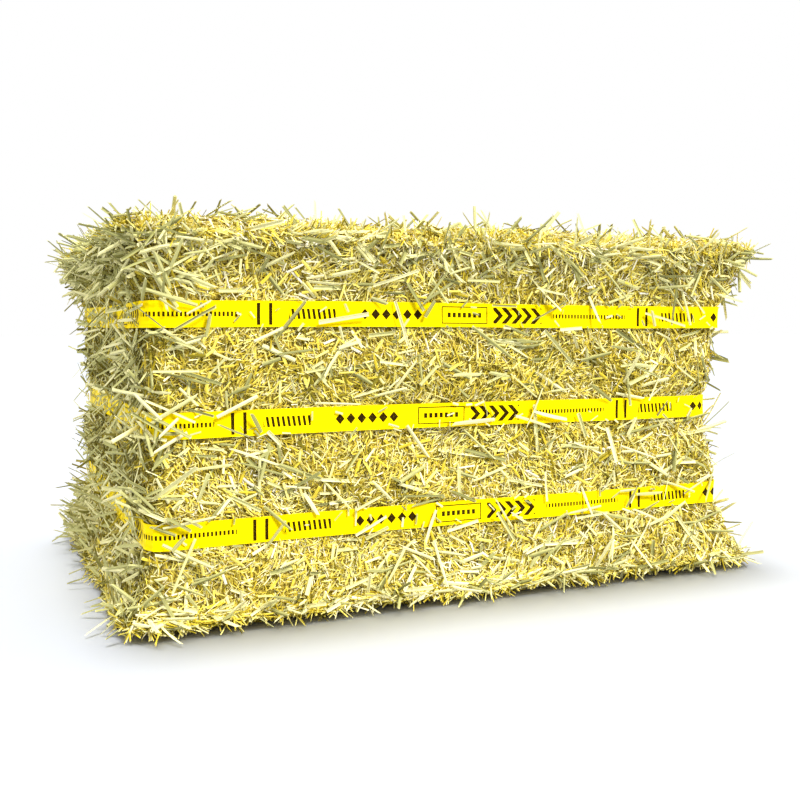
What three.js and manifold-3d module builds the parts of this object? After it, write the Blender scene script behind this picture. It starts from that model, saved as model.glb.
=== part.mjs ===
// Square straw bale: one pressed block of straw with stray stalks, held by three flat plastic straps.
// Millimetres, +Z up. The origin is the middle of the underside, +X runs along the bale, -Y is its front.
import * as THREE from "three";
import { MeshSurfaceSampler } from "three/addons/math/MeshSurfaceSampler.js";
import { mergeVertices } from "three/addons/utils/BufferGeometryUtils.js";
import Module from "manifold-3d";

const wasm = await Module();
wasm.setup();

// Pressed block. The straps draw its sides in, the right end most, so the bale is longest at its rims.
// Of each side: how far out it is at the middle strap, how far its rims stand out, how late they begin to,
// and how far the straw swells between two straps.
const HEIGHT = 394;
const SIDES = {
  left: { waist: 348, flare: 36, power: 3.6, bulge: 7 },
  right: { waist: 308, flare: 77, power: 2.3, bulge: 7 },
  front: { waist: 258, flare: 14, power: 3, bulge: 3 },
  back: { waist: 246, flare: 26, power: 3, bulge: 3 },
};
const CORNER_RADIUS = 20; // upright edges
const TOP_RADIUS = 16;
const BOTTOM_RADIUS = 16;
const TOP_CROWN = 5;
const LUMP = 4.5;

// Straps
const STRAP_WIDTH = 25;
const STRAP_THICKNESS = 1;
const STRAP_GAP = 0.3; // to the straw
const STRAP_PITCH = 104.5;
const MIDDLE_STRAP_HEIGHT = 200;
const WELD_LENGTH = 70; // overlap of the strap's two ends, on the back
const WELD_BITE = 0.2;
const SEAT_MARGIN = 0.6; // the straw is pressed flat a little past the strap's edges
const SEAT_LIP = 6; // and swells back out over this height

// Stray stalks
const STALK_COUNT = 160;
const STALK_RADIUS = [1.7, 2.6];
const STALK_LENGTH = [42, 78];
const STALK_ROOT = 20; // length of a stalk that stays buried
const STALK_LIFT = [0.28, 0.95]; // radians off the surface
const STALK_SIDES = 4;
const STALK_CLEARANCE = 1.5; // to a strap, or to the ground
const REACH = { length: 820, width: 594, height: 421 }; // tips are cut off at the sides of this box

// Points round one level of the block
const LONG_STEPS = 14;
const SHORT_STEPS = 10;
const CORNER_STEPS = 4;
const TOP_RINGS = 4;

const STRAP_HEIGHTS = {
  strap_lower: MIDDLE_STRAP_HEIGHT - STRAP_PITCH,
  strap_middle: MIDDLE_STRAP_HEIGHT,
  strap_upper: MIDDLE_STRAP_HEIGHT + STRAP_PITCH,
};
const SEAT_HALF = STRAP_WIDTH / 2 + SEAT_MARGIN;

const strawMaterial = new THREE.MeshStandardMaterial({
  color: 0xd8c476,
  roughness: 0.85,
  metalness: 0,
});
const strapMaterial = new THREE.MeshStandardMaterial({
  color: 0xf7e400,
  roughness: 0.4,
  metalness: 0,
});

// A repeatable random source, so that the bale is the same each time
function randomSource(seed) {
  let state = seed;
  return () => {
    state = (state + 0x6d2b79f5) | 0;
    let t = Math.imul(state ^ (state >>> 15), 1 | state);
    t = (t + Math.imul(t ^ (t >>> 7), 61 | t)) ^ t;
    return ((t ^ (t >>> 14)) >>> 0) / 4294967296;
  };
}
const random = randomSource(11);
const between = ([low, high]) => low + (high - low) * random();

// 0 at the straps and 1 halfway between two of them
function swell(z) {
  const turn = (2 * Math.PI * (z - MIDDLE_STRAP_HEIGHT)) / STRAP_PITCH;
  const pastStraps = Math.abs(z - MIDDLE_STRAP_HEIGHT) > STRAP_PITCH;
  return pastStraps ? 0 : (1 - Math.cos(turn)) / 2;
}

// How far the rounded top and bottom edges draw a level in
function edgeInset(z) {
  const round = (radius, depth) =>
    radius - Math.sqrt(radius ** 2 - Math.max(radius - depth, 0) ** 2);
  return round(TOP_RADIUS, HEIGHT - z) + round(BOTTOM_RADIUS, z);
}

// How far out each side of a level is, with a little added all round
function levelSizes(z, added = 0) {
  const far = Math.abs(z - MIDDLE_STRAP_HEIGHT) / (HEIGHT / 2);
  const reach = ({ waist, flare, power, bulge }) =>
    waist + flare * far ** power + bulge * swell(z) - edgeInset(z) + added;
  return Object.fromEntries(Object.entries(SIDES).map(([side, shape]) => [side, reach(shape)]));
}

// Points of a rounded rectangle, anticlockwise, each with its outward direction
function levelPoints({ left, right, front, back }, radius = CORNER_RADIUS) {
  const points = [];
  const quarter = Math.PI / 2;
  const [x0, x1] = [radius - left, right - radius];
  const [y0, y1] = [radius - front, back - radius];
  const corners = [[x1, y0], [x1, y1], [x0, y1], [x0, y0]];
  corners.forEach(([cornerX, cornerY], corner) => {
    const middle = new THREE.Vector2(cornerX, cornerY);
    for (let i = 0; i <= CORNER_STEPS; i++) {
      const angle = quarter * (corner - 1 + i / CORNER_STEPS);
      const out = new THREE.Vector2(Math.cos(angle), Math.sin(angle));
      points.push({ at: middle.clone().addScaledVector(out, radius), out });
    }
    const steps = corner % 2 ? LONG_STEPS : SHORT_STEPS;
    const start = points.at(-1);
    const along = new THREE.Vector2(-start.out.y, start.out.x);
    const span = corner % 2 ? x1 - x0 : y1 - y0;
    for (let i = 1; i < steps; i++) {
      const at = start.at.clone().addScaledVector(along, (span * i) / steps);
      points.push({ at, out: start.out });
    }
  });
  return points;
}

// Unevenness of the pressed straw, from a few waves that don't share a period
function lump(x, y, z) {
  const waves =
    Math.sin(x / 37 + z / 29) + Math.sin(y / 31 - z / 23 + 1.7) + Math.sin((x + y) / 53 + z / 17 + 0.6);
  return (LUMP * waves) / 3;
}

// 0 where a strap presses the straw flat, and 1 clear of it
function freeOfStraps(z) {
  const nearest = Math.min(...Object.values(STRAP_HEIGHTS).map((h) => Math.abs(z - h)));
  return THREE.MathUtils.smoothstep(nearest, SEAT_HALF, SEAT_HALF + SEAT_LIP);
}

// Levels of the block from the ground up: its rounded edges, each strap's seat, and the swell in between.
// A level has the outline of its own height, but all of a strap's seat has the outline at the strap.
function blockLevels() {
  const plain = (z) => ({ z, outlineAt: z });
  const levels = [0, BOTTOM_RADIUS * 0.25, BOTTOM_RADIUS, BOTTOM_RADIUS * 2.6].map(plain);
  for (const h of Object.values(STRAP_HEIGHTS)) {
    levels.push(plain(h - SEAT_HALF - SEAT_LIP));
    levels.push({ z: h - SEAT_HALF, outlineAt: h });
    levels.push({ z: h + SEAT_HALF, outlineAt: h });
    levels.push(plain(h + SEAT_HALF + SEAT_LIP));
    if (h < STRAP_HEIGHTS.strap_upper) levels.push(plain(h + STRAP_PITCH / 2));
  }
  const top = [HEIGHT - TOP_RADIUS, HEIGHT - TOP_RADIUS * 0.35, HEIGHT - TOP_RADIUS * 0.06];
  return levels.concat(top.map(plain));
}

function levelRing({ z, outlineAt }) {
  const rough = z > BOTTOM_RADIUS / 3 ? freeOfStraps(z) : 0;
  return levelPoints(levelSizes(outlineAt)).map(({ at, out }) => {
    const move = rough * lump(at.x, at.y, z);
    return new THREE.Vector3(at.x + out.x * move, at.y + out.y * move, z);
  });
}

function geometryOf(points, triangles) {
  const geometry = new THREE.BufferGeometry().setFromPoints(points);
  return geometry.setIndex(triangles);
}

// Triangles that join ring after ring of the same number of points
function sideTriangles(rings, size) {
  const triangles = [];
  for (let ring = 0; ring < rings; ring++) {
    for (let i = 0; i < size; i++) {
      const next = (i + 1) % size;
      const [a, b] = [ring * size + i, ring * size + next];
      const [c, d] = [a + size, b + size];
      triangles.push(a, b, d, a, d, c);
    }
  }
  return triangles;
}

function blockGeometry() {
  const rings = blockLevels().map(levelRing);
  const size = rings[0].length;
  const rim = rings.at(-1);
  for (let ring = 1; ring < TOP_RINGS; ring++) {
    const share = 1 - ring / TOP_RINGS;
    const rise = TOP_RADIUS * 0.06 + TOP_CROWN * (1 - share ** 2);
    rings.push(
      rim.map(({ x, y, z }) => {
        const at = new THREE.Vector3(x * share, y * share, z + rise);
        return at.setZ(at.z + lump(at.x, at.y, HEIGHT) * (1 - share));
      }),
    );
  }
  const points = rings.flat();
  const triangles = sideTriangles(rings.length - 1, size);
  const peak = points.push(new THREE.Vector3(0, 0, HEIGHT + TOP_CROWN)) - 1;
  const last = peak - size;
  for (let i = 0; i < size; i++) triangles.push(last + i, last + ((i + 1) % size), peak);
  const underside = rings[0].map(({ x, y }) => new THREE.Vector2(x, y));
  for (const [a, b, c] of THREE.ShapeUtils.triangulateShape(underside, [])) triangles.push(c, b, a);
  return geometryOf(points, triangles);
}

function solidOf(geometry) {
  const bare = geometry.clone();
  bare.deleteAttribute("normal");
  bare.deleteAttribute("uv");
  const merged = mergeVertices(bare);
  return new wasm.Manifold(
    new wasm.Mesh({
      numProp: 3,
      vertProperties: merged.attributes.position.array,
      triVerts: new Uint32Array(merged.index.array),
    }),
  );
}

function geometryFrom(solid) {
  const { vertProperties, triVerts } = solid.getMesh();
  const geometry = new THREE.BufferGeometry();
  geometry.setAttribute("position", new THREE.BufferAttribute(vertProperties, 3));
  geometry.setIndex(new THREE.BufferAttribute(triVerts, 1));
  return geometry;
}

// A stalk may not run into a strap or under the ground
function isClear(start, end, radius) {
  const low = Math.min(start.z, end.z) - radius - STALK_CLEARANCE;
  const high = Math.max(start.z, end.z) + radius + STALK_CLEARANCE;
  const half = STRAP_WIDTH / 2;
  return low > 0 && Object.values(STRAP_HEIGHTS).every((h) => high < h - half || low > h + half);
}

// One stalk that grows out of the surface at a spot, or nothing if it would be in the way there
function stalkGeometry(spot, normal) {
  const radius = between(STALK_RADIUS);
  const length = between(STALK_LENGTH);
  const lift = between(STALK_LIFT);
  const tilt = Math.acos(2 * random() - 1);
  const heading = new THREE.Vector3().setFromSphericalCoords(1, tilt, 2 * Math.PI * random());
  const lean = heading.projectOnPlane(normal).normalize();
  const way = lean.multiplyScalar(Math.cos(lift)).addScaledVector(normal, Math.sin(lift));
  const root = spot.clone().addScaledVector(way, -STALK_ROOT);
  const tip = spot.clone().addScaledVector(way, length - STALK_ROOT);
  if (!isClear(root, tip, radius)) return null;
  const turn = new THREE.Quaternion().setFromUnitVectors(new THREE.Vector3(0, 1, 0), way);
  const middle = root.add(tip).multiplyScalar(0.5);
  return new THREE.CylinderGeometry(radius, radius, length, STALK_SIDES)
    .applyQuaternion(turn)
    .translate(middle.x, middle.y, middle.z);
}

// The space that the tips of the stalks keep to
function reachSolid() {
  const box = new THREE.BoxGeometry(REACH.length, REACH.width, REACH.height);
  return solidOf(box.translate(0, 0, REACH.height / 2));
}

function strawBlock() {
  const block = blockGeometry();
  block.computeVertexNormals();
  const sampler = new MeshSurfaceSampler(new THREE.Mesh(block)).setRandomGenerator(random).build();
  const reach = reachSolid();
  const spot = new THREE.Vector3();
  const normal = new THREE.Vector3();
  let solid = solidOf(block);
  let made = 0;
  while (made < STALK_COUNT) {
    sampler.sample(spot, normal);
    const stalk = stalkGeometry(spot, normal);
    if (!stalk) continue;
    solid = solid.add(solidOf(stalk).intersect(reach));
    made += 1;
  }
  return geometryFrom(solid);
}

// A closed band round the block, with its two ends lapped and welded at the middle of the back
function strapGeometry(height) {
  const ring = (by, z) => {
    const outline = levelPoints(levelSizes(height, by), CORNER_RADIUS + by);
    return outline.map(({ at }) => new THREE.Vector3(at.x, at.y, z));
  };
  const [inner, outer] = [STRAP_GAP, STRAP_GAP + STRAP_THICKNESS];
  const [low, high] = [height - STRAP_WIDTH / 2, height + STRAP_WIDTH / 2];
  const rings = [ring(outer, low), ring(outer, high), ring(inner, high), ring(inner, low), ring(outer, low)];
  const band = geometryOf(rings.flat(), sideTriangles(rings.length - 1, rings[0].length));
  const lap = new THREE.BoxGeometry(WELD_LENGTH, STRAP_THICKNESS + WELD_BITE, STRAP_WIDTH).translate(
    0,
    levelSizes(height, outer).back + (STRAP_THICKNESS - WELD_BITE) / 2,
    height,
  );
  return geometryFrom(solidOf(band).add(solidOf(lap)));
}

function named(name, geometry, material) {
  const mesh = new THREE.Mesh(geometry, material);
  mesh.name = name;
  return mesh;
}

const bale = new THREE.Group();
bale.add(named("straw_block", strawBlock(), strawMaterial));
for (const [name, height] of Object.entries(STRAP_HEIGHTS)) {
  bale.add(named(name, strapGeometry(height), strapMaterial));
}

export default bale;
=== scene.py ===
"""Square straw bale: pressed straw bristling with stray stalks, and three printed plastic straps round it.

Metres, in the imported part's frame: +X runs along the bale, -Y is its front and +Z is up.
"""

import math
from dataclasses import dataclass, fields

import bpy
import numpy as np
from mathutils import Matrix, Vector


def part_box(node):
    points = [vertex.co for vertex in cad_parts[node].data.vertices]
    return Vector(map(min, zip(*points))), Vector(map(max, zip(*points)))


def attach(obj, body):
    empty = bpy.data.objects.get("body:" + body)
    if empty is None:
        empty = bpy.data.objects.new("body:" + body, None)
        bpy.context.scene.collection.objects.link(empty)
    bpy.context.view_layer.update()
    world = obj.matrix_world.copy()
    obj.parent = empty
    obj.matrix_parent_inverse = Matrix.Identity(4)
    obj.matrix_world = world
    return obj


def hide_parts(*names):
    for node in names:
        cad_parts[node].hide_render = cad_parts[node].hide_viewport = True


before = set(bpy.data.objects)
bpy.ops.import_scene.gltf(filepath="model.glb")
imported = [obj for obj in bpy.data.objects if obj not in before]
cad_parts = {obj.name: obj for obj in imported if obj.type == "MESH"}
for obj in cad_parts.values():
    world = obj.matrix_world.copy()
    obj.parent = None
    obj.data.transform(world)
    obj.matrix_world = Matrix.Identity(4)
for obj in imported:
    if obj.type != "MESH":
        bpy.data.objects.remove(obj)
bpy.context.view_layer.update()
random = np.random.default_rng(20)

# Pressed block, with the sizes of its solid. Of each side: how far out it is at the middle strap, how far its
# rims stand out, how late they begin to, and how far the straw swells between two straps.
HEIGHT = 0.394
SIDES = {
    "left": (0.348, 0.036, 3.6, 0.007),
    "right": (0.308, 0.077, 2.3, 0.007),
    "front": (0.258, 0.014, 3.0, 0.003),
    "back": (0.246, 0.026, 3.0, 0.003),
}
CORNER_RADIUS = 0.020
TOP_RADIUS = 0.016
BOTTOM_RADIUS = 0.016
TOP_CROWN = 0.005
LUMP = 0.0045
CORE_DEPTH = 0.004  # the solid straw behind the loose pieces starts this far in
CORE_CUTS = 47
GROUND_CLEARANCE = 0.0008

# Straps
STRAP_WIDTH = 0.025
STRAP_THICKNESS = 0.001
STRAP_GAP = 0.0003
SEAT_HALF = 0.0131  # half the height over which a strap presses the straw flat
SEAT_LIP = 0.006  # height past that over which it gets uneven again
WELD_LENGTH = 0.070  # overlap of a strap's two ends, on the back
WELD_MARK = 0.030  # length of the ribbed weld in the middle of the overlap
PRINT_REPEAT = 0.445
PRINT_STARTS = {"strap_upper": 0.198, "strap_middle": 0.172, "strap_lower": 0.192}  # x of a pair of bars

# How loose straw lies
BURIED_SHARE = (0.1, 0.6)  # of a straw's length, behind the spot where it is laid
ROLL = 0.4  # how far straws are rolled about their length
COMBING = 1.1  # how much alike neighbouring straws lie
STRAY_COMBING = 0.35  # and stray stalks
STRAY_STEEPNESS = 0.55  # how steep stray stalks lie on the front and back, 1 being all ways alike
TROUGH_REACH = 0.010  # of the trough in the straw along each edge of a strap
TROUGH_SLOPE = 1.3
UNDER_STRAP = 0.0002  # how far straws are pushed in behind the seat of a strap
CROSSING_MARGIN = 0.001  # past a seat's edge, where a stray stalk still counts as crossing the strap
STRAW_CLEARANCE = 0.0012  # of a stray stalk from a strap
LARGEST_SHIFT = 0.009  # that a stray stalk is moved by to clear one

# Tones of straw, as places across a sheet that runs from 0 to 1
SHEET_MARGIN = 0.02  # left free at both ends of a straw's strip of the sheet
TONE_STRIP = 0.045  # share of the sheet that one straw's width takes
GOLD_TONES = (0.03, 0.665)
KHAKI_TONES = (0.745, 0.97)
TONE_PATCH = 0.05  # how much paler and darker the gold gets in patches
KHAKI_SHADE_FALL = 0.06  # painted shade: how much darker khaki stalks are at the top of the bale than at its foot
SHADE_EDGE = 0.032  # painted shade: the straw gets darker within this length of the left end, the end that lies in shade
FOOT_SHADE_SHARE = 0.35  # share of straw with painted shade at the foot of the left end, so that its foot is painted lighter
FOOT_SHADE_HEIGHTS = (0.02, 0.10)  # between them that share rises to all of the straw
TOP_SHADE_SHARE = 0.04  # share of straw with painted shade at the top of the bale, away from that end
# Painted light and shade on the gold in bands by height: heights, and how much paler the gold is at each
PAINTED_LIGHT_BANDS = ((0.0, -0.08), (0.03, 0.03), (0.15, 0.005), (0.25, -0.04), (0.34, 0.03))

# Mixes of tones: the share of each tone, the tone, and how far it strays
# Its darkest share is partly dark straw and partly painted shade in the gaps among the pieces, and its cream
# share partly painted highlights
GOLDEN_MIX = (
    (0.12, 0.06, 0.03),
    (0.26, 0.25, 0.05),
    (0.31, 0.39, 0.05),
    (0.17, 0.53, 0.03),
    (0.08, 0.63, 0.02),
    (0.06, 0.84, 0.05),
)
# The darkest share of khaki lies near the sheet's dark stop, which paints shade along one edge of those
# stalks
KHAKI_MIX = ((0.38, 0.735, 0.015), (0.30, 0.87, 0.03), (0.32, 0.95, 0.02))
END_MIX = ((0.56, 0.795, 0.01), (0.18, 0.87, 0.02), (0.26, 0.96, 0.02))
# Dark tones that paint shade on the left end and on the top of the bale
PAINTED_SHADE_MIX = ((0.56, 0.04, 0.02), (0.20, 0.20, 0.05), (0.16, 0.795, 0.01), (0.08, 0.87, 0.02))


@dataclass
class Seat:
    """Where one strap runs: its mid height, and how far out the straw under it reaches each way."""

    height: float
    left: float
    right: float
    front: float
    back: float


def strap_seat(name):
    low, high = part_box(name)
    out = STRAP_GAP + STRAP_THICKNESS
    back = high.y - out - STRAP_THICKNESS  # the strap is double there
    return Seat((low.z + high.z) / 2, -low.x - out, high.x - out, -low.y - out, back)


SEATS = {name: strap_seat(name) for name in PRINT_STARTS}
MIDDLE = SEATS["strap_middle"].height
STRAP_PITCH = SEATS["strap_upper"].height - MIDDLE


# Shape of the pressed straw


def smooth_step(value, start, end):
    share = np.clip((value - start) / (end - start), 0, 1)
    return share * share * (3 - 2 * share)


def swell(z):
    """0 at the straps, 1 halfway between two of them, and 0 past the outer ones."""
    wave = (1 - np.cos(2 * np.pi * (z - MIDDLE) / STRAP_PITCH)) / 2
    return np.where(np.abs(z - MIDDLE) > STRAP_PITCH, 0, wave)


def edge_inset(z):
    """How far the rounded top and bottom edges draw a level in."""

    def rounding(radius, depth):
        return radius - np.sqrt(radius**2 - np.clip(radius - depth, 0, radius) ** 2)

    return rounding(TOP_RADIUS, HEIGHT - z) + rounding(BOTTOM_RADIUS, z)


def side_reach(side, z):
    """How far out a side is at a height."""
    waist, flare, power, bulge = SIDES[side]
    far = np.abs(z - MIDDLE) / (HEIGHT / 2)
    return waist + flare * far**power + bulge * swell(z) - edge_inset(z)


def lump(x, y, z):
    """Unevenness of the pressed straw."""
    waves = np.sin(x / 0.037 + z / 0.029) + np.sin(y / 0.031 - z / 0.023 + 1.7)
    return LUMP * (waves + np.sin((x + y) / 0.053 + z / 0.017 + 0.6)) / 3


def strap_distance(z):
    """Height from the middle of the nearest strap."""
    return np.min([np.abs(z - seat.height) for seat in SEATS.values()], axis=0)


def pressed(cube):
    """Moves points of a cube that runs from -1 to 1 to the surface of the pressed straw."""
    z = (cube[:, 2] + 1) / 2 * HEIGHT
    reach_x = np.where(cube[:, 0] > 0, side_reach("right", z), side_reach("left", z))
    reach_y = np.where(cube[:, 1] > 0, side_reach("back", z), side_reach("front", z))
    reach = np.stack((reach_x, reach_y), 1)
    flat = cube[:, :2] * reach
    nearest = np.clip(flat, CORNER_RADIUS - reach, reach - CORNER_RADIUS)
    off = flat - nearest
    longest = np.abs(off).max(1, keepdims=True)
    flat = nearest + off * longest / np.maximum(np.linalg.norm(off, axis=1, keepdims=True), 1e-9)
    crown = TOP_CROWN * (1 - np.abs(cube[:, :2]).max(1) ** 2) * (cube[:, 2] > 0.999)
    return np.column_stack((flat, z + crown))


# Modelling helpers


def deselect_all():
    bpy.ops.object.select_all(action="DESELECT")


def mesh_points(mesh):
    flat = np.empty(len(mesh.vertices) * 3, np.float32)
    mesh.vertices.foreach_get("co", flat)
    return flat.reshape(-1, 3).astype(float)


def set_mesh_points(mesh, points):
    mesh.vertices.foreach_set("co", np.asarray(points, np.float32).ravel())
    mesh.update()


def vertex_normals(mesh):
    flat = np.empty(len(mesh.vertices) * 3, np.float32)
    mesh.vertex_normals.foreach_get("vector", flat)
    return flat.reshape(-1, 3).astype(float)


def triangle_corners(mesh):
    mesh.calc_loop_triangles()
    flat = np.empty(len(mesh.loop_triangles) * 3, np.int32)
    mesh.loop_triangles.foreach_get("vertices", flat)
    return flat.reshape(-1, 3)


def select_where(mesh, chosen):
    """Selects the faces whose normal passes a test, in object mode."""
    mesh.vertices.foreach_set("select", np.zeros(len(mesh.vertices), bool))
    mesh.edges.foreach_set("select", np.zeros(len(mesh.edges), bool))
    for face in mesh.polygons:
        face.select = chosen(face.normal)


def finish_piece(piece, slot, *nodes):
    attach(piece, "root")
    if nodes:
        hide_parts(*nodes)


# Solid straw behind the loose pieces


def straw_core():
    deselect_all()
    bpy.ops.mesh.primitive_cube_add(size=2)
    core = bpy.context.object
    core.name = "straw_core"
    bpy.ops.object.mode_set(mode="EDIT")
    bpy.ops.mesh.select_all(action="SELECT")
    bpy.ops.mesh.subdivide(number_cuts=CORE_CUTS)
    bpy.ops.object.mode_set(mode="OBJECT")
    points = pressed(mesh_points(core.data))
    set_mesh_points(core.data, points)
    rough = smooth_step(strap_distance(points[:, 2]), SEAT_HALF, SEAT_HALF + SEAT_LIP)
    rough *= smooth_step(points[:, 2], BOTTOM_RADIUS / 3, BOTTOM_RADIUS)
    move = rough * lump(*points.T) - CORE_DEPTH
    points += vertex_normals(core.data) * move[:, None]
    points[:, 2] = np.maximum(points[:, 2], GROUND_CLEARANCE)
    set_mesh_points(core.data, points)
    return core


class StrawSurface:
    """Picks spots on the outside of the pressed straw, side by side."""

    def __init__(self, core):
        corners = mesh_points(core.data)[triangle_corners(core.data)]
        across = np.cross(corners[:, 1] - corners[:, 0], corners[:, 2] - corners[:, 0])
        size = np.linalg.norm(across, axis=1, keepdims=True)
        self.normals = across / size
        self.corners = corners + CORE_DEPTH * self.normals[:, None]
        self.middles = self.corners.mean(1)
        self.areas = size[:, 0] / 2
        x, y, z = self.normals.T
        facing = {"left": -x, "right": x, "front": -y, "back": y, "under": -z, "top": z}
        strongest = np.argmax(list(facing.values()), axis=0)
        self.sides = np.array(list(facing))[strongest]

    def spots(self, side, count, low=-1.0, high=1.0, start=-1.0, end=1.0):
        """Random spots of one side, between two heights and two places along it, and the way out at each."""
        along = self.middles[:, 1 if side in ("left", "right") else 0]
        height = self.middles[:, 2]
        wanted = (height > low) & (height < high) & (along > start) & (along < end)
        chance = self.areas * (wanted & (self.sides == side))
        chosen = random.choice(len(chance), count, p=chance / chance.sum())
        shares = random.dirichlet((1, 1, 1), count)
        at = np.einsum("nk,nkd->nd", shares, self.corners[chosen])
        return at, self.normals[chosen]


# Single stalks and chips of straw, each modelled once: 1 long from its root at x = 0, and 1 across


@dataclass
class Shape:
    points: np.ndarray
    triangles: np.ndarray


def read_shape(piece):
    """Turns a modelled piece into arrays, and removes it."""
    bpy.ops.object.mode_set(mode="EDIT")
    bpy.ops.mesh.select_all(action="SELECT")
    bpy.ops.mesh.normals_make_consistent(inside=False)
    bpy.ops.object.mode_set(mode="OBJECT")
    shape = Shape(mesh_points(piece.data), triangle_corners(piece.data))
    bpy.data.objects.remove(piece)
    return shape


def start_stalk(sides, flatness, tip=0.5):
    """A prism along X, flattened in Z and narrowed to a tip radius, in object mode."""
    deselect_all()
    bpy.ops.mesh.primitive_cone_add(
        vertices=sides, radius1=0.5, radius2=tip, depth=1, rotation=(0, math.pi / 2, 0), location=(0.5, 0, 0)
    )
    piece = bpy.context.object
    piece.scale.x = flatness
    bpy.ops.object.transform_apply(location=True, rotation=True, scale=True)
    return piece


def cut_across(piece, places):
    bpy.ops.object.mode_set(mode="EDIT")
    for x in places:
        bpy.ops.mesh.select_all(action="SELECT")
        bpy.ops.mesh.bisect(plane_co=(x, 0, 0), plane_no=(1, 0, 0))
    bpy.ops.object.mode_set(mode="OBJECT")


def sliver_shape():
    """A splinter that runs out to a point."""
    return read_shape(start_stalk(3, 0.75, 0.0))


def chip_shape():
    """A short three-sided splinter, thinner at its far end."""
    return read_shape(start_stalk(3, 0.75, 0.35))


def flake_shape():
    """A flat strip of stalk wall with one cut across, so that it can bow."""
    piece = start_stalk(4, 0.3)
    cut_across(piece, (0.5,))
    return read_shape(piece)


def tube_shape():
    """A whole stalk: six sides, one cut across, and hollow at both ends."""
    piece = start_stalk(6, 0.8)
    cut_across(piece, (0.52,))
    for way in (1, -1):
        select_where(piece.data, lambda normal: normal.x * way > 0.9)
        bpy.ops.object.mode_set(mode="EDIT")
        bpy.ops.mesh.inset(thickness=0.14)
        bpy.ops.mesh.extrude_region_move(TRANSFORM_OT_translate={"value": (-0.06 * way, 0, 0)})
        bpy.ops.object.mode_set(mode="OBJECT")
    return read_shape(piece)


def split_shape():
    """A stalk split lengthwise: a shallow trough with a thin wall."""
    piece = start_stalk(6, 0.5)
    cut_across(piece, (0.45,))
    for chosen in (lambda normal: normal.z > 0.3, lambda normal: abs(normal.x) > 0.9):
        select_where(piece.data, chosen)
        bpy.ops.object.mode_set(mode="EDIT")
        bpy.ops.mesh.delete(type="FACE")
        bpy.ops.object.mode_set(mode="OBJECT")
    wall = piece.modifiers.new("wall", "SOLIDIFY")
    wall.thickness = 0.1
    wall.offset = -1
    bpy.ops.object.modifier_apply(modifier=wall.name)
    return read_shape(piece)


def ribbon_shape():
    """A flat strip with a slight fold along it and a slanting cut at its far end."""
    piece = start_stalk(4, 0.2)
    cut_across(piece, (0.35, 0.7))
    points = mesh_points(piece.data)
    points[:, 1] *= np.interp(points[:, 0], (0, 0.35, 0.7, 1), (0.85, 1, 0.95, 0.7))
    points[:, 2] -= 0.3 * np.abs(points[:, 1])
    points[:, 0] += 0.12 * points[:, 1] * (points[:, 0] > 0.9)
    set_mesh_points(piece.data, points)
    return read_shape(piece)


# Laying straw


@dataclass
class Kind:
    """One kind of loose straw: its shape, the range of each size, and the mix of its tones.

    Lift is its angle off the surface, depth how far in it starts, bow its bend as a share of its length,
    combed how much alike neighbours lie, and steep how upright they are.
    """

    shape: Shape
    length: tuple
    width: tuple
    lift: tuple
    depth: tuple
    bow: float
    mix: tuple
    combed: float = COMBING
    steep: float = 1.0


@dataclass
class Straws:
    """Many pieces of straw: where each starts, which way it runs and faces, its sizes and its tone."""

    root: np.ndarray
    way: np.ndarray
    face: np.ndarray
    length: np.ndarray
    width: np.ndarray
    bow: np.ndarray
    tone: np.ndarray

    def keep(self, chosen):
        for field in fields(self):
            setattr(self, field.name, getattr(self, field.name)[chosen])


def unit(vectors):
    return vectors / np.maximum(np.linalg.norm(vectors, axis=-1, keepdims=True), 1e-12)


def mixed_tones(mix, spots):
    """A tone of a mix for each straw. Gold comes in patches, and in bands of painted light and shade by
    height, and khaki gets darker upwards as painted shade.
    """
    shares, tones, strays = (np.array(column) for column in zip(*mix))
    chosen = random.choice(len(mix), len(spots), p=shares / shares.sum())
    tone = random.normal(tones[chosen], strays[chosen])
    x, y, z = spots.T
    patches = np.sin(x / 0.024 + 2 * np.sin(z / 0.035)) * np.sin((y + z) / 0.021 + 2 * np.sin(x / 0.04))
    light_bands = np.interp(z, *zip(*PAINTED_LIGHT_BANDS))
    gold = np.clip(tone + TONE_PATCH * patches + light_bands, *GOLD_TONES)
    khaki = np.clip(tone + KHAKI_SHADE_FALL * (0.5 - z / HEIGHT), *KHAKI_TONES)
    return np.where(tones[chosen] > GOLD_TONES[1], khaki, gold)


def shade_painted_tones(mix, spots):
    """Tones of a mix, more of them dark towards the left end and the top of the bale, as painted shade."""
    x, _, z = spots.T
    from_end = x + side_reach("left", z)
    at_end = smooth_step(-from_end, -SHADE_EDGE, 0) * np.interp(z, FOOT_SHADE_HEIGHTS, (FOOT_SHADE_SHARE, 1))
    shade_share = np.maximum(at_end, TOP_SHADE_SHARE * z / HEIGHT)
    shaded = random.random(len(spots)) < shade_share
    return np.where(shaded, mixed_tones(PAINTED_SHADE_MIX, spots), mixed_tones(mix, spots))


def combing(points):
    """The way the straw is combed by the press, which changes slowly along the bale."""
    x, y, z = points.T
    flow = (np.sin(z / 0.021 + x / 0.06), np.sin(x / 0.031 + 1.3), np.sin(x / 0.027 + y / 0.035 + z / 0.04))
    return np.column_stack(flow)


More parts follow.
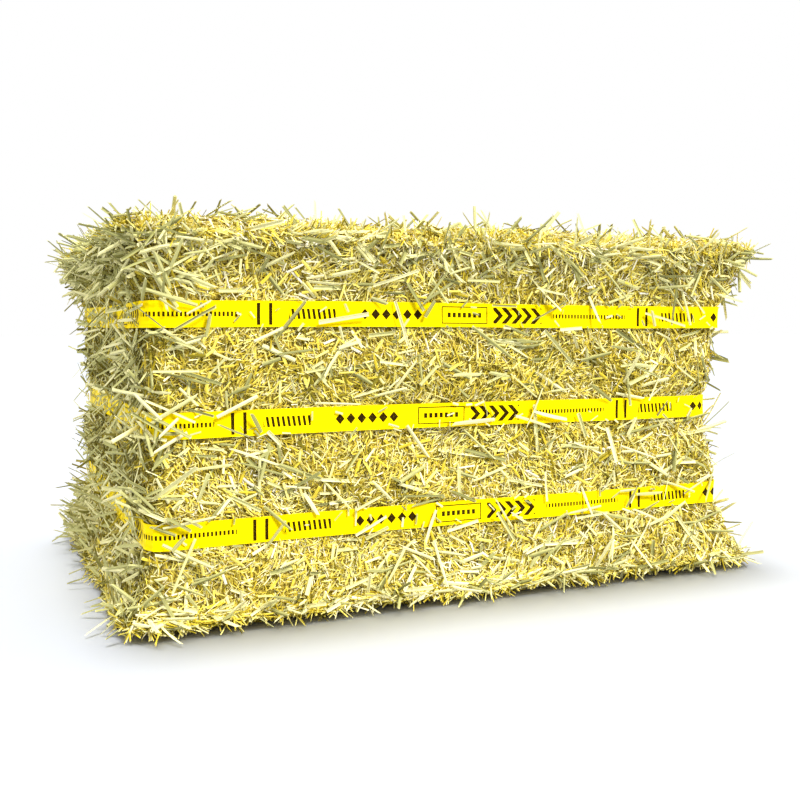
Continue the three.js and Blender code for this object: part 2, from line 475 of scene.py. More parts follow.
def lay(spots, normals, kind):
    """Lays a straw of one kind at each spot, roughly the way the straw is combed there."""
    count = len(spots)
    heading = random.normal(size=(count, 3)) + kind.combed * combing(spots)
    heading[:, 2] *= kind.steep
    along = unit(heading - normals * np.sum(heading * normals, 1, keepdims=True))
    angle = random.uniform(*kind.lift, (count, 1))
    way = along * np.cos(angle) + normals * np.sin(angle)
    side = unit(np.cross(normals, way))
    face = unit(np.cross(way, side)) + random.normal(0, ROLL, (count, 1)) * side
    length = random.uniform(*kind.length, count)
    buried = length * random.uniform(*BURIED_SHARE, count)
    root = spots - normals * random.uniform(*kind.depth, (count, 1)) - way * buried[:, None]
    width = random.uniform(*kind.width, count)
    bow = random.normal(0, kind.bow, count)
    tone = (shade_painted_tones if kind.mix is GOLDEN_MIX else mixed_tones)(kind.mix, spots)
    return Straws(root, way, unit(face), length, width, bow, tone)


REACH_LOW, REACH_HIGH = (np.array(corner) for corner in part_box("straw_block"))


def trim_to_reach(straws):
    """Shortens the straws whose tips would stick out past the bale's overall size, sideways or upwards, and
    leaves out those that get too short."""
    margin = straws.width[:, None]
    ahead = np.where(straws.way > 0, REACH_HIGH - margin, REACH_LOW + margin) - straws.root
    limited = np.abs(straws.way) > 1e-6
    limited[:, 2] = straws.way[:, 2] > 0
    longest = np.divide(ahead, straws.way, out=np.full_like(ahead, np.inf), where=limited).min(1)
    straws.length = np.minimum(straws.length, longest)
    straws.keep(straws.length > 2 * straws.width)


def rest_on_ground(straws):
    """Turns up the straws whose tips would be under the ground, so that they lie on it."""
    lowest = GROUND_CLEARANCE + straws.width / 2
    straws.root[:, 2] = np.maximum(straws.root[:, 2], lowest)
    drop = (lowest - straws.root[:, 2]) / straws.length
    sunk = straws.way[:, 2] < drop
    straws.way[sunk, 2] = drop[sunk]
    straws.way = unit(straws.way)
    straws.face[sunk] = (0, 0, 1)
    straws.face = unit(straws.face - straws.way * np.sum(straws.face * straws.way, 1, keepdims=True))


def outline_distance(points, seat):
    """How far points are outside the straw under a strap, seen from above, and the way out."""
    low = np.array((-seat.left, -seat.front)) + CORNER_RADIUS
    high = np.array((seat.right, seat.back)) - CORNER_RADIUS
    off = points[..., :2] - (low + high) / 2
    past = np.abs(off) - (high - low) / 2
    outer = np.maximum(past, 0)
    distance = np.linalg.norm(outer, axis=-1) + np.minimum(past.max(-1), 0) - CORNER_RADIUS
    steepest = np.where(past[..., :1] > past[..., 1:], (1.0, 0.0), (0.0, 1.0))
    corner = (past > 0).all(-1, keepdims=True)
    return distance, np.where(corner, unit(outer), steepest) * np.sign(off)


def shift_by_worst(points, need, out):
    """Moves each straw as a whole by the largest need of its points, the way that point asks."""
    worst = np.argmax(need, axis=1)[:, None]
    amount = np.maximum(np.take_along_axis(need, worst, 1), 0)
    points[..., :2] += np.take_along_axis(out, worst[..., None], 1) * amount[..., None]


def stay_put(points):
    return np.ones(len(points), bool)


def press_under_straps(points):
    """Pushes straws in under the straps, and into the trough along each strap's edges. All of them stay."""
    for seat in SEATS.values():
        gap = np.abs(points[..., 2] - seat.height) - SEAT_HALF
        distance, out = outline_distance(points, seat)
        allowed = np.maximum(gap, 0) * TROUGH_SLOPE - UNDER_STRAP
        shift_by_worst(points, np.where(gap < TROUGH_REACH, distance - allowed, 0), -out)
    return stay_put(points)


def lay_over_straps(points, share):
    """Moves straws that cross a strap out onto it, and says which stay: a share of them, and all others."""
    stay = np.ones(len(points), bool)
    for seat in SEATS.values():
        distance, out = outline_distance(points, seat)
        beside = np.abs(points[..., 2] - seat.height) < SEAT_HALF + CROSSING_MARGIN
        need = np.where(beside, STRAP_GAP + 2 * STRAP_THICKNESS + STRAW_CLEARANCE - distance, -1)
        deepest = need.max(1)
        crossing = deepest > 0
        stay &= ~crossing | ((deepest < LARGEST_SHIFT) & (random.random(len(points)) < share))
        shift_by_worst(points, np.minimum(need, LARGEST_SHIFT), out)
    return stay


def straw_points(straws, shape):
    """Points of every straw, each straw as one copy of the shape."""
    x, y, z = (column[None, :, None] for column in shape.points.T)
    side = np.cross(straws.face, straws.way)
    length, width, bow = (size[:, None, None] for size in (straws.length, straws.width, straws.bow))
    points = straws.root[:, None] + straws.way[:, None] * (x * length)
    points = points + side[:, None] * (y * width)
    return points + straws.face[:, None] * (z * width + 4 * x * (1 - x) * bow * length)


def straw_sheet_uv(tones, shape):
    """Each straw's strip of the sheet of straw tones: its tone across, and its length along."""
    x, y, _ = shape.points.T
    across = tones[:, None] + y[None, :] * TONE_STRIP
    along = np.broadcast_to(SHEET_MARGIN + (1 - 2 * SHEET_MARGIN) * x, across.shape)
    return np.stack((across, along), 2).reshape(-1, 2)


def straw_load(straws, shape, settle):
    """Points, triangles and map of a load of straws, settled round the straps and on the ground."""
    rest_on_ground(straws)
    trim_to_reach(straws)
    points = straw_points(straws, shape)
    stay = settle(points)
    points[..., 2] += np.maximum(GROUND_CLEARANCE - points[..., 2].min(1, keepdims=True), 0)
    points = points[stay]
    steps = len(shape.points) * np.arange(len(points))[:, None, None]
    triangles = (shape.triangles[None] + steps).reshape(-1, 3)
    return points.reshape(-1, 3), triangles, straw_sheet_uv(straws.tone[stay], shape)


def straw_piece(name, loads, material):
    """Joins loads of straws into one piece."""
    starts = np.cumsum([0] + [len(points) for points, _, _ in loads])
    points = np.concatenate([load[0] for load in loads])
    triangles = np.concatenate([load[1] + start for load, start in zip(loads, starts)])
    uvs = np.concatenate([load[2] for load in loads])
    mesh = bpy.data.meshes.new(name)
    mesh.vertices.add(len(points))
    mesh.loops.add(triangles.size)
    mesh.polygons.add(len(triangles))
    mesh.polygons.foreach_set("loop_start", np.arange(0, triangles.size, 3, dtype=np.int32))
    mesh.loops.foreach_set("vertex_index", triangles.ravel().astype(np.int32))
    mesh.vertices.foreach_set("co", points.astype(np.float32).ravel())
    mesh.polygons.foreach_set("use_smooth", np.zeros(len(triangles), bool))
    mesh.update(calc_edges=True)
    layer = mesh.uv_layers.new(name="OFBake")
    layer.uv.foreach_set("vector", uvs[triangles.ravel()].astype(np.float32).ravel())
    mesh.materials.append(material)
    piece = bpy.data.objects.new(name, mesh)
    bpy.context.scene.collection.objects.link(piece)
    finish_piece(piece, "straw")


# Materials


def new_material(name):
    material = bpy.data.materials.new(name)
    material.use_nodes = True
    tree = material.node_tree
    return material, tree, tree.nodes["Principled BSDF"]


def add_node(tree, kind, **settings):
    node = tree.nodes.new(kind)
    for name, value in settings.items():
        setattr(node, name, value)
    return node


def feed(tree, value, socket):
    if isinstance(value, bpy.types.NodeSocket):
        tree.links.new(value, socket)
    else:
        socket.default_value = value


def calc(tree, operation, *values):
    node = add_node(tree, "ShaderNodeMath", operation=operation)
    for value, socket in zip(values, node.inputs):
        feed(tree, value, socket)
    return node.outputs[0]


def mix_colours(tree, share, first, second, blend="MIX"):
    node = add_node(tree, "ShaderNodeMix", data_type="RGBA", blend_type=blend)
    sockets = (node.inputs[0], node.inputs[6], node.inputs[7])  # the others are for numbers and vectors
    for value, socket in zip((share, first, second), sockets):
        feed(tree, value, socket)
    return node.outputs[2]


def colour_ramp(tree, value, stops):
    node = add_node(tree, "ShaderNodeValToRGB")
    ramp = node.color_ramp
    while len(ramp.elements) < len(stops):
        ramp.elements.new(0.5)
    for element, (place, colour) in zip(ramp.elements, stops):
        element.position = place
        element.color = (*colour, 1)
    feed(tree, value, node.inputs[0])
    return node.outputs[0]


def change_range(tree, value, low, high, at_low, at_high):
    node = add_node(tree, "ShaderNodeMapRange")
    for socket, setting in zip(node.inputs[:5], (value, low, high, at_low, at_high)):
        feed(tree, setting, socket)
    return node.outputs[0]


def noise(tree, vector, scale, detail=3.0, stretch=(1, 1, 1)):
    mapping = add_node(tree, "ShaderNodeMapping")
    mapping.inputs["Scale"].default_value = stretch
    feed(tree, vector, mapping.inputs["Vector"])
    node = add_node(tree, "ShaderNodeTexNoise")
    node.inputs["Scale"].default_value = scale
    node.inputs["Detail"].default_value = detail
    tree.links.new(mapping.outputs[0], node.inputs["Vector"])
    return node.outputs[0]


def bump(tree, height, strength, distance):
    node = add_node(tree, "ShaderNodeBump")
    node.inputs["Strength"].default_value = strength
    node.inputs["Distance"].default_value = distance
    feed(tree, height, node.inputs["Height"])
    return node.outputs[0]


# The sheet of tones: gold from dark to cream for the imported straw, then khaki for the stray stalks
STRAW_TONES = (
    (0.00, (0.10, 0.090, 0.003)),
    (0.12, (0.36, 0.275, 0.008)),
    (0.25, (0.75, 0.580, 0.040)),
    (0.40, (0.89, 0.770, 0.150)),
    (0.52, (0.95, 0.855, 0.330)),
    (0.62, (0.97, 0.915, 0.600)),
    (0.69, (0.98, 0.945, 0.780)),
    # A dark stop: khaki stalks whose tone lies near it get painted shade along one edge across their width
    (0.72, (0.20, 0.195, 0.060)),
    (0.75, (0.38, 0.370, 0.130)),
    (0.85, (0.62, 0.600, 0.250)),
    (0.94, (0.84, 0.795, 0.400)),
    (1.00, (0.93, 0.885, 0.500)),
)


def straw_material():
    """Dry straw: the sheet of tones, with fibres along each stalk and pale cut ends."""
    material, tree, shader = new_material("dry_straw")
    sheet = add_node(tree, "ShaderNodeUVMap", uv_map="OFBake").outputs[0]
    place = add_node(tree, "ShaderNodeSeparateXYZ")
    tree.links.new(sheet, place.inputs[0])
    across, along = place.outputs[0], place.outputs[1]
    tone = colour_ramp(tree, across, STRAW_TONES)
    fibres = noise(tree, sheet, 1.0, 3.0, stretch=(420, 5, 1))
    shade = colour_ramp(
        tree, fibres, ((0.25, (0.72, 0.68, 0.55)), (0.55, (1, 1, 1)), (0.8, (1.1, 1.1, 1.12)))
    )
    fibred = mix_colours(tree, 1.0, tone, shade, "MULTIPLY")
    from_end = calc(tree, "MINIMUM", along, calc(tree, "SUBTRACT", 1.0, along))
    cut_end = change_range(tree, from_end, 0.02, 0.05, 0.5, 0.0)
    colour = mix_colours(tree, cut_end, fibred, (0.86, 0.78, 0.46, 1))
    tree.links.new(colour, shader.inputs["Base Color"])
    tree.links.new(change_range(tree, fibres, 0.3, 0.7, 0.62, 0.45), shader.inputs["Roughness"])
    shader.inputs["Specular IOR Level"].default_value = 0.15
    tree.links.new(bump(tree, fibres, 0.4, 0.0004), shader.inputs["Normal"])
    return material


def core_material():
    """Packed straw seen between the loose pieces: fine strands that cross, gold, with painted shade in the
    dark gaps between them.
    """
    material, tree, shader = new_material("packed_straw")
    place = add_node(tree, "ShaderNodeTexCoord").outputs["Object"]
    rows = noise(tree, place, 260.0, 3.0, stretch=(0.4, 0.4, 2.2))
    stems = noise(tree, place, 260.0, 3.0, stretch=(2.0, 2.0, 0.4))
    strands = calc(tree, "MAXIMUM", rows, stems)
    colour = colour_ramp(
        tree, strands, ((0.42, (0.10, 0.08, 0.008)), (0.54, (0.40, 0.29, 0.03)), (0.68, (0.85, 0.68, 0.12)))
    )
    tree.links.new(colour, shader.inputs["Base Color"])
    shader.inputs["Roughness"].default_value = 0.75
    shader.inputs["Specular IOR Level"].default_value = 0.2
    tree.links.new(bump(tree, strands, 0.8, 0.003), shader.inputs["Normal"])
    return material


PRINT_DARK = (0.025, 0.012, 0.001, 1)
STRAP_YELLOW = (1.0, 0.77, 0.0, 1)


def strap_marks(tree, run, across):
    """Where the strap is printed. Run is the length from a pair of bars, and across is from 0 to 1."""
    height = calc(tree, "MULTIPLY", calc(tree, "ABSOLUTE", calc(tree, "SUBTRACT", across, 0.5)), STRAP_WIDTH)

    def both(first, second):
        return calc(tree, "MULTIPLY", first, second)

    def within(value, low, high):
        return both(calc(tree, "GREATER_THAN", value, low), calc(tree, "LESS_THAN", value, high))

    def band(start, end, tall):
        return both(within(run, start, end), calc(tree, "LESS_THAN", height, tall / 2))

    def strokes(pitch, share, lean=0.0):
        leaning = calc(tree, "ADD", run, calc(tree, "MULTIPLY", across, lean))
        return calc(tree, "LESS_THAN", calc(tree, "FRACT", calc(tree, "DIVIDE", leaning, pitch)), share)

    def arrows(pitch, share):
        pointing = calc(tree, "ADD", run, height)
        return calc(tree, "LESS_THAN", calc(tree, "FRACT", calc(tree, "DIVIDE", pointing, pitch)), share)

    def diamonds(pitch, half_height, narrowing=2.4):
        share = calc(tree, "FRACT", calc(tree, "DIVIDE", run, pitch))
        from_middle = calc(tree, "ABSOLUTE", calc(tree, "SUBTRACT", share, 0.5))
        sideways = calc(tree, "MULTIPLY", from_middle, narrowing)
        off = calc(tree, "ADD", sideways, calc(tree, "DIVIDE", height, half_height))
        return calc(tree, "LESS_THAN", off, 1.0)

    def frame_line(start, end, tall, thick):
        inside = band(start + thick, end - thick, tall - 2 * thick)
        return calc(tree, "SUBTRACT", band(start, end, tall), inside)

    two_bars = calc(tree, "MAXIMUM", band(0.0000, 0.0033, 0.021), band(0.0120, 0.0153, 0.021))
    leaning_strokes = both(band(0.032, 0.080, 0.010), strokes(0.0053, 0.50, 0.004))
    row_of_diamonds = both(band(0.105, 0.175, 0.012), diamonds(0.0117, 0.0055))
    box = frame_line(0.197, 0.251, 0.018, 0.0011)
    dashes_in_box = both(band(0.203, 0.245, 0.005), strokes(0.006, 0.6))
    row_of_arrows = both(band(0.258, 0.318, 0.017), arrows(0.012, 0.5))
    small_strokes = both(band(0.333, 0.429, 0.0045), strokes(0.004, 0.52))
    marks = (leaning_strokes, row_of_diamonds, box, dashes_in_box, row_of_arrows, small_strokes)
    printed = two_bars
    for mark in marks:
        printed = calc(tree, "MAXIMUM", printed, mark)
    return printed


def strap_material():
    """Yellow plastic strap with dark printed bars and marks, a little scuffed."""
    material, tree, shader = new_material("printed_strap")
    lengthwise = add_node(tree, "ShaderNodeUVMap", uv_map="lengthwise").outputs[0]
    place = add_node(tree, "ShaderNodeSeparateXYZ")
    tree.links.new(lengthwise, place.inputs[0])
    run = calc(tree, "WRAP", place.outputs[0], PRINT_REPEAT, 0.0)
    printed = strap_marks(tree, run, place.outputs[1])
    here = add_node(tree, "ShaderNodeTexCoord").outputs["Object"]
    scuffs = noise(tree, here, 60.0, 5.0, stretch=(0.3, 0.3, 4.0))
    worn = colour_ramp(tree, scuffs, ((0.35, (0.90, 0.86, 0.8)), (0.55, (1, 1, 1))))
    plastic = mix_colours(tree, 1.0, STRAP_YELLOW, worn, "MULTIPLY")
    thin_ink = change_range(tree, noise(tree, here, 900.0, 2.0), 0.28, 0.40, 0.85, 1.0)
    colour = mix_colours(tree, calc(tree, "MULTIPLY", printed, thin_ink), plastic, PRINT_DARK)
    tree.links.new(colour, shader.inputs["Base Color"])
    tree.links.new(change_range(tree, scuffs, 0.3, 0.7, 0.52, 0.34), shader.inputs["Roughness"])
    shader.inputs["Specular IOR Level"].default_value = 0.03
    tree.links.new(bump(tree, scuffs, 0.15, 0.0006), shader.inputs["Normal"])
    return material


# Straps

STRAP_STEP = 0.004  # length of each facet on its straight stretches
STRAP_STRIPS = 4  # strips across its width
CORNER_FOLDS = 6  # facets round each corner
STRAP_ROWS = 12  # rows that a strap's length is laid in on its own map, and one more for its weld
ROW_MARGIN = 0.1  # share of a row's height that is left free on both sides
ROW_END = 0.05  # and of its length
RIPPLE = 0.0006  # a strap stands off the straw by up to twice this, in two waves
RIPPLE_WAVES = (0.021, 0.047)
BUCKLE = 0.0007  # and by up to twice this more at a corner, in short folds
BUCKLE_WAVE = 0.0027
BUCKLE_FADE = 0.012  # length from a corner over which the folds fade
LEAN = 0.0007  # between one edge and the other, out and in
LEAN_WAVE = 0.083
RISE = 0.0008  # up and down
RISE_WAVE = 0.11
CURL = 0.0005  # of both edges outwards
WAVE_START = 90  # for each metre of a strap's height, so that no two straps ripple alike
WELD_CUTS = 17  # across the ribbed weld: every second one is a groove
GROOVE_DEPTH = 0.0006
BARE_START = 0.018  # of a stretch of the print that has no marks, for the weld
BARE_LENGTH = 0.012
CHAFF = 80  # bits of straw caught on each strap
CHAFF_SPREAD = 0.55  # the farthest that they lie from its middle, as a share of its width
CHAFF_OFF_WELD = 0.01


def strap_path(seat):
    """The strap's inner line from the middle of the back, anticlockwise, and the way out at each point."""
    radius = CORNER_RADIUS + STRAP_GAP
    low_x, low_y = CORNER_RADIUS - seat.left, CORNER_RADIUS - seat.front
    high_x, high_y = seat.right - CORNER_RADIUS, seat.back - CORNER_RADIUS
    centres = ((low_x, high_y), (low_x, low_y), (high_x, low_y), (high_x, high_y))
    points = [(0.0, high_y + radius)]
    outs = [(0.0, 1.0)]

    def straight_to(end, out):
        start = np.array(points[-1])
        steps = int(np.linalg.norm(np.array(end) - start) / STRAP_STEP)
        for share in np.arange(1, steps) / steps:
            points.append(tuple(start + (np.array(end) - start) * share))
            outs.append(out)

    for corner, (x, y) in enumerate(centres):
        for fold in range(CORNER_FOLDS + 1):
            angle = math.pi / 2 * (corner + 1 + fold / CORNER_FOLDS)
            out = (math.cos(angle), math.sin(angle))
            at = (x + radius * out[0], y + radius * out[1])
            if fold == 0:
                straight_to(at, out)
            points.append(at)
            outs.append(out)
    straight_to(points[0], outs[0])
    return np.array(points), np.array(outs)


def strap_wander(run, outs, phase):
    """How far a strap stands off the straw along its length, how it leans, and how far up it strays."""
    first, second = RIPPLE_WAVES
    ripple = RIPPLE * (1 + np.sin(run / first + phase) * np.sin(run / second + 2 * phase))
    turning = np.abs(outs).min(1) > 0.05
    to_corner = np.abs(run[:, None] - run[turning][None, :]).min(1)
    buckle = BUCKLE * np.exp(-to_corner / BUCKLE_FADE) * (1 + np.sin(run / BUCKLE_WAVE + 3 * phase))
    lean = LEAN * np.sin(run / LEAN_WAVE + phase)
    rise = RISE * np.sin(run / RISE_WAVE + 2 * phase)
    return ripple + buckle, lean, rise


def strap_run(path):
    """Length along the strap to each point of its path, and its whole length last."""
    steps = np.linalg.norm(np.diff(path, axis=0, append=path[:1]), axis=1)
    return np.concatenate(((0,), np.cumsum(steps)))


def strap_off(seat, path, outs, chosen, level):
    """How far out and up of its path a strap is at chosen points. Level is from -0.5 to 0.5 across it."""
    wander = strap_wander(strap_run(path)[:-1], outs, seat.height * WAVE_START)
    off, lean, rise = (along[chosen] for along in wander)
    return off + lean * level + CURL * np.abs(2 * level) ** 3, level * STRAP_WIDTH + rise


def spots_on_strap(seat, count):
    """Random spots on the front and back of a strap, most of them near its edges, and the way out."""
    path, outs = strap_path(seat)
    lap = (path[:, 1] > 0) & (np.abs(path[:, 0]) < WELD_LENGTH / 2 + CHAFF_OFF_WELD)
    flat = np.flatnonzero((np.abs(outs[:, 1]) > 0.999) & ~lap)
    chosen = random.choice(flat, count)
    level = CHAFF_SPREAD * np.sin(random.uniform(-math.pi / 2, math.pi / 2, count))
    off, up = strap_off(seat, path, outs, chosen, level)
    at = path[chosen] + outs[chosen] * (off + STRAP_THICKNESS)[:, None]
    return np.column_stack((at, seat.height + up)), np.column_stack((outs[chosen], np.zeros(count)))


def strap_piece(name, seat, material):
    """A flat strap round the bale: a ring drawn up to a band, rippled, buckled and given its thickness."""
    path, outs = strap_path(seat)
    run = strap_run(path)
    deselect_all()
    bpy.ops.mesh.primitive_circle_add(vertices=len(path), radius=1, fill_type="NOTHING")
    strap = bpy.context.object
    strap.name = name + "_band"
    bpy.ops.object.mode_set(mode="EDIT")
    bpy.ops.mesh.select_all(action="SELECT")
    for _ in range(STRAP_STRIPS):
        bpy.ops.mesh.extrude_region_move(TRANSFORM_OT_translate={"value": (0, 0, 1)})
    bpy.ops.object.mode_set(mode="OBJECT")
    points = mesh_points(strap.data)
    across = points[:, 2] / STRAP_STRIPS
    turn = np.unwrap(np.arctan2(points[:len(path), 1], points[:len(path), 0]))
    order = np.argsort(np.argsort((turn - turn[0]) * np.sign(turn[1] - turn[0])))
    order = np.tile(order, STRAP_STRIPS + 1)
    off, up = strap_off(seat, path, outs, order, across - 0.5)
    flat = path[order] + outs[order] * off[:, None]
    set_mesh_points(strap.data, np.column_stack((flat, seat.height + up)))
    front_middle = np.argmin(np.where(path[:, 1] < 0, np.abs(path[:, 0]), np.inf))
    bars_at = run[front_middle] - path[front_middle, 0] + PRINT_STARTS[name]
    lay_strap_maps(strap.data, order, across, run, bars_at)
    wall = strap.modifiers.new("wall", "SOLIDIFY")
    wall.thickness = STRAP_THICKNESS
    wall.offset = 1
    wall.use_even_offset = True
    bpy.ops.object.modifier_apply(modifier=wall.name)
    weld = strap_weld(seat, off[0] + STRAP_GAP + STRAP_THICKNESS)
    deselect_all()
    weld.select_set(True)
    strap.select_set(True)
    bpy.context.view_layer.objects.active = strap
    bpy.ops.object.join()
    strap.data.materials.append(material)
    finish_piece(strap, "strap", name)


def lay_strap_maps(mesh, order, across, run, bars_at):
    """One map in metres from a pair of bars for the print, and one in rows for the finished surface."""
    corners = np.empty(len(mesh.loops), np.int32)
    mesh.loops.foreach_get("vertex_index", corners)
    faces = corners.reshape(-1, 4)
    along = run[:-1][order][faces]
    wrapped = np.ptp(along, axis=1, keepdims=True) > run[-1] / 2
    along = np.where(wrapped & (along < run[-1] / 2), along + run[-1], along)
    level = across[faces]
    add_map(mesh, "lengthwise", along - bars_at, level)
    span = run[-1] / STRAP_ROWS
    row = np.minimum(along.mean(1, keepdims=True) // span, STRAP_ROWS - 1)
    add_row_map(mesh, along / span - row, row, level)


def add_map(mesh, name, across, up):
    layer = mesh.uv_layers.new(name=name)
    layer.uv.foreach_set("vector", np.stack((across, up), -1).astype(np.float32).ravel())


def add_row_map(mesh, share, row, level):
    """A map in rows, from the share of a row's length and the level across it."""
    up = row + ROW_MARGIN + (1 - 2 * ROW_MARGIN) * level
    add_map(mesh, "OFBake", ROW_END + (1 - 2 * ROW_END) * share, up / (STRAP_ROWS + 1))


def strap_weld(seat, inner):
    """The strap's outer end where it laps over on the back, with a ribbed weld in its middle."""
    deselect_all()
    bpy.ops.mesh.primitive_cube_add(size=1)
    weld = bpy.context.object
    weld.scale = (WELD_LENGTH, STRAP_THICKNESS, STRAP_WIDTH)
    bpy.ops.object.transform_apply(scale=True)
    cuts = np.linspace(-WELD_MARK / 2, WELD_MARK / 2, WELD_CUTS)
    cut_across(weld, cuts)
    points = mesh_points(weld.data)
    sunk = np.isin(np.rint(points[:, 0] * 1e5), np.rint(cuts[1::2] * 1e5)) & (points[:, 1] > 0)
    points[sunk, 1] -= GROOVE_DEPTH
    points += (0, seat.back + inner + STRAP_THICKNESS / 2, seat.height)
    set_mesh_points(weld.data, points)
    corners = np.empty(len(weld.data.loops), np.int32)
    weld.data.loops.foreach_get("vertex_index", corners)
    x, _, z = points[corners].T
    share = x / WELD_LENGTH + 0.5
    level = (z - seat.height) / STRAP_WIDTH + 0.5
    for layer in list(weld.data.uv_layers):
        weld.data.uv_layers.remove(layer)
    add_map(weld.data, "lengthwise", BARE_START + BARE_LENGTH * share, level)
    add_row_map(weld.data, share, STRAP_ROWS, level)
    return weld


# Floor, light and camera

SKY_LIGHT = 0.3
FLOOR_SIZE = 60
FLOOR_PALE = (0.86, 0.895, 0.98, 1)
CAMERA_PLACE = (-0.497, -1.1648, 0.2914)
CAMERA_TURN = 23.854  # degrees to the right of +Y
CAMERA_TILT = 4.254  # degrees down
SENSOR_WIDTH = 36  # millimetres
FOCAL_PIXELS = 967  # focal length in pixels of the photo
PHOTO_PIXELS = 800  # width of the photo
# Of each light: its strength, its slant from straight above, its turn to the right, and its spread
FLOOR_LIGHTS = {"broad": (1.45, -5, 6, 50), "overhead": (1.4, -6, 6, 14)}
BALE_LIGHTS = {"front": (5.6, 46, 30, 20), "left": (2.35, 45, -80, 15), "back": (2.6, 68, 165, 24)}


def add_lights(lights, group, receivers):
    """Suns that light only some things, though all things cast shadows in them."""
    lit = bpy.data.collections.new(group)
    for piece in receivers:
        lit.objects.link(piece)
    for name, (energy, slant, turn, spread) in lights.items():
        bpy.ops.object.light_add(type="SUN", rotation=(math.radians(slant), 0, math.radians(turn)))
        light = bpy.context.object
        light.name = name + "_light"
        light.data.energy = energy
        light.data.angle = math.radians(spread)
        light.light_linking.receiver_collection = lit


def studio(pieces):
    """White surroundings and floor, lights above for the floor, and lights from three sides for the bale."""
    world = bpy.data.worlds.new("studio")
    bpy.context.scene.world = world
    world.use_nodes = True
    tree = world.node_tree
    seen = add_node(tree, "ShaderNodeLightPath").outputs["Is Camera Ray"]
    strength = change_range(tree, seen, 0.0, 1.0, SKY_LIGHT, 1.0)
    tree.nodes["Background"].inputs["Color"].default_value = (1, 1, 1, 1)
    tree.links.new(strength, tree.nodes["Background"].inputs["Strength"])
    deselect_all()
    bpy.ops.mesh.primitive_plane_add(size=FLOOR_SIZE)
    floor = bpy.context.object
    floor.name = "floor"
    material, tree, shader = new_material("pale_floor")
    shader.inputs["Base Color"].default_value = FLOOR_PALE
    shader.inputs["Roughness"].default_value = 0.9
    shader.inputs["Specular IOR Level"].default_value = 0.0
    floor.data.materials.append(material)
    add_lights(FLOOR_LIGHTS, "lit_floor", [floor])
    add_lights(BALE_LIGHTS, "lit_bale", pieces)
    bpy.context.scene.view_settings.view_transform = "Standard"


def camera():
    turn, tilt = math.radians(CAMERA_TURN), math.radians(CAMERA_TILT)
    bpy.ops.object.camera_add(location=CAMERA_PLACE, rotation=(math.pi / 2 - tilt, 0, -turn))
    view = bpy.context.object
    view.data.sensor_width = SENSOR_WIDTH
    view.data.lens = SENSOR_WIDTH * FOCAL_PIXELS / PHOTO_PIXELS
    view.data.clip_end = 100
    bpy.context.scene.camera = view


# Covering straw

# How many slivers, chips and flakes cover each side, and how far they lift off it
COVER = {
    "front": (30000, 6000, 1300, 0.22),
    "back": (17000, 4000, 1000, 0.22),
    "left": (14000, 5000, 1200, 0.5),
    "right": (11000, 4000, 1000, 0.5),
    "top": (20000, 5000, 1200, 0.35),
    "under": (3000, 1000, 0, 0.05),
}
# How many bits stick out of the top edge and the foot of each side, and of the whole top
FRINGE_DEPTH = 0.02
EDGE, FOOT, ALL_OVER = (HEIGHT - FRINGE_DEPTH, 1), (-1, FRINGE_DEPTH), (-1, 1)
FRINGES = {
    "front": {EDGE: 1300, FOOT: 1500},
    "back": {EDGE: 900, FOOT: 700},
    "left": {EDGE: 500, FOOT: 500},
    "right": {EDGE: 120, FOOT: 500},
    "top": {ALL_OVER: 1600},
}


def covering_straw(side):
    """Slivers, chips and flakes of one side, pressed in under the straps."""
    *counts, lift = COVER[side]
    alike = {"lift": (0.0, lift), "mix": GOLDEN_MIX}
    kinds = (
        Kind(sliver, length=(0.007, 0.014), width=(0.0012, 0.0022), depth=(0.0, 0.004), bow=0.0, **alike),
        Kind(chip, length=(0.006, 0.013), width=(0.0012, 0.0020), depth=(-0.0005, 0.003), bow=0.0, **alike),
        Kind(flake, length=(0.011, 0.022), width=(0.0016, 0.0030), depth=(-0.001, 0.002), bow=0.02, **alike),
    )
    loads = []
    for kind, count in zip(kinds, counts):
        if count:
            loads.append(straw_load(lay(*surface.spots(side, count), kind), kind.shape, press_under_straps))
    straw_piece("straw_" + side, loads, straw)


def fringe_straw(side):
    """Short bits: those of the rims stand out, and those of the foot lie along it."""
    alike = {"length": (0.011, 0.027), "width": (0.0014, 0.0024), "depth": (0.0, 0.003), "mix": GOLDEN_MIX}
    rim_bits = Kind(chip, lift=(0.1, 1.0), bow=0.0, **alike)
    foot_bits = Kind(chip, lift=(0.0, 0.5), bow=0.0, steep=0.4, **alike)
    loads = []
    for heights, count in FRINGES[side].items():
        bits = lay(*surface.spots(side, count, *heights), foot_bits if heights == FOOT else rim_bits)
        loads.append(straw_load(bits, chip, stay_put))
    straw_piece("fringe_" + side, loads, straw)


# Stray stalks


@dataclass
class Growth:
    """Stray stalks of one part of a side: how many there are, and at which angles off it they stand.

    Of those that would cross a strap, only a share stays. They grow from the part of the side between two
    heights, low and high, and two places along it, start and end.
    """

    count: int
    lift: tuple
    over_straps: float = 1.0
    low: float = -1.0
    high: float = 1.0
    start: float = -1.0
    end: float = 1.0


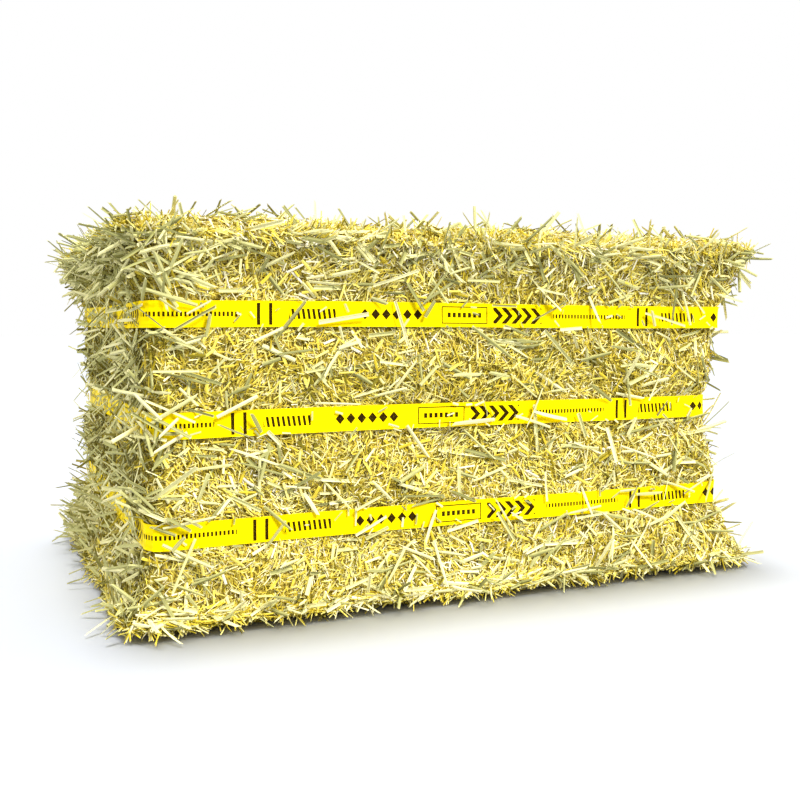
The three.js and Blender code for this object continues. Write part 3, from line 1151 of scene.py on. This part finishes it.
# Each is named by its side first
STRAYS = {
    "front": Growth(560, (0.02, 0.34), 0.3),
    "front_foot": Growth(140, (0.5, 1.2), high=0.022),
    "front_rim": Growth(170, (0.2, 1.0), low=0.365),
    "front_corner": Growth(70, (0.05, 0.5), end=-0.295),
    "back": Growth(500, (0.02, 0.34), 0.3),
    "back_foot": Growth(70, (0.5, 1.1), high=0.025),
    "left": Growth(850, (0.05, 0.9), 0.7, low=0.02),
    "left_foot": Growth(30, (0.3, 0.8), high=0.025),
    "left_flare": Growth(200, (0.6, 1.4), 0.5, low=0.02, high=0.10, start=0.05),
    "left_rim": Growth(220, (0.3, 1.1), low=0.335),
    "left_corner": Growth(120, (0.1, 0.9), end=-0.19),
    "right": Growth(650, (0.05, 0.9), 0.3, low=0.02),
    "right_foot": Growth(60, (0.4, 1.0), high=0.025),
    "right_rim": Growth(40, (0.2, 0.9), low=0.335),
    "right_corner": Growth(90, (0.4, 1.2), 0.6, end=-0.2),
    "top": Growth(900, (0.05, 0.9)),
}
STRAY_SIZES = {"length": (0.016, 0.056), "width": (0.0022, 0.0044)}
END_SIZES = {"length": (0.018, 0.046), "width": (0.0024, 0.0042)}  # of those all over the two ends


def stray_stalks(place, growth):
    """Whole stalks, split stalks and flat strips of one part of a side, laid over the straps."""
    side = place.split("_")[0]
    alike = {
        "lift": growth.lift,
        "depth": (-0.002, 0.001),
        "bow": 0.02,
        "mix": END_MIX if side == "left" else KHAKI_MIX,
        "combed": STRAY_COMBING,
        "steep": STRAY_STEEPNESS if side in ("front", "back") else 1.0,
    }
    sizes = END_SIZES if place in ("left", "right") else STRAY_SIZES
    stretch = (growth.low, growth.high, growth.start, growth.end)

    def settle(points):
        return lay_over_straps(points, growth.over_straps)

    loads = []
    for shape, share in ((tube, 0.1), (split, 0.3), (ribbon, 0.6)):
        spots = surface.spots(side, int(growth.count * share), *stretch)
        loads.append(straw_load(lay(*spots, Kind(shape, **sizes, **alike)), shape, settle))
    straw_piece("stalks_" + place, loads, straw)


def caught_chaff(name, seat):
    """Small bits of straw that lie on a strap."""
    sizes = {"length": (0.004, 0.012), "width": (0.0010, 0.0024), "bow": 0.0}
    bits = Kind(flake, lift=(0.0, 0.04), depth=(-0.0013, -0.0009), mix=KHAKI_MIX, **sizes)
    caught = lay(*spots_on_strap(seat, CHAFF), bits)
    straw_piece("chaff_on_" + name, [straw_load(caught, flake, stay_put)], straw)


# The bale

straw = straw_material()
core = straw_core()
core.data.materials.append(core_material())
finish_piece(core, "straw", "straw_block")
surface = StrawSurface(core)
sliver, chip, flake = sliver_shape(), chip_shape(), flake_shape()
tube, split, ribbon = tube_shape(), split_shape(), ribbon_shape()

for side in COVER:
    covering_straw(side)
    if side in FRINGES:
        fringe_straw(side)
for place, growth in STRAYS.items():
    stray_stalks(place, growth)
strap_finish = strap_material()
for name, seat in SEATS.items():
    strap_piece(name, seat, strap_finish)
    caught_chaff(name, seat)

studio([piece for piece in bpy.context.scene.objects if piece.type == "MESH"])
camera()
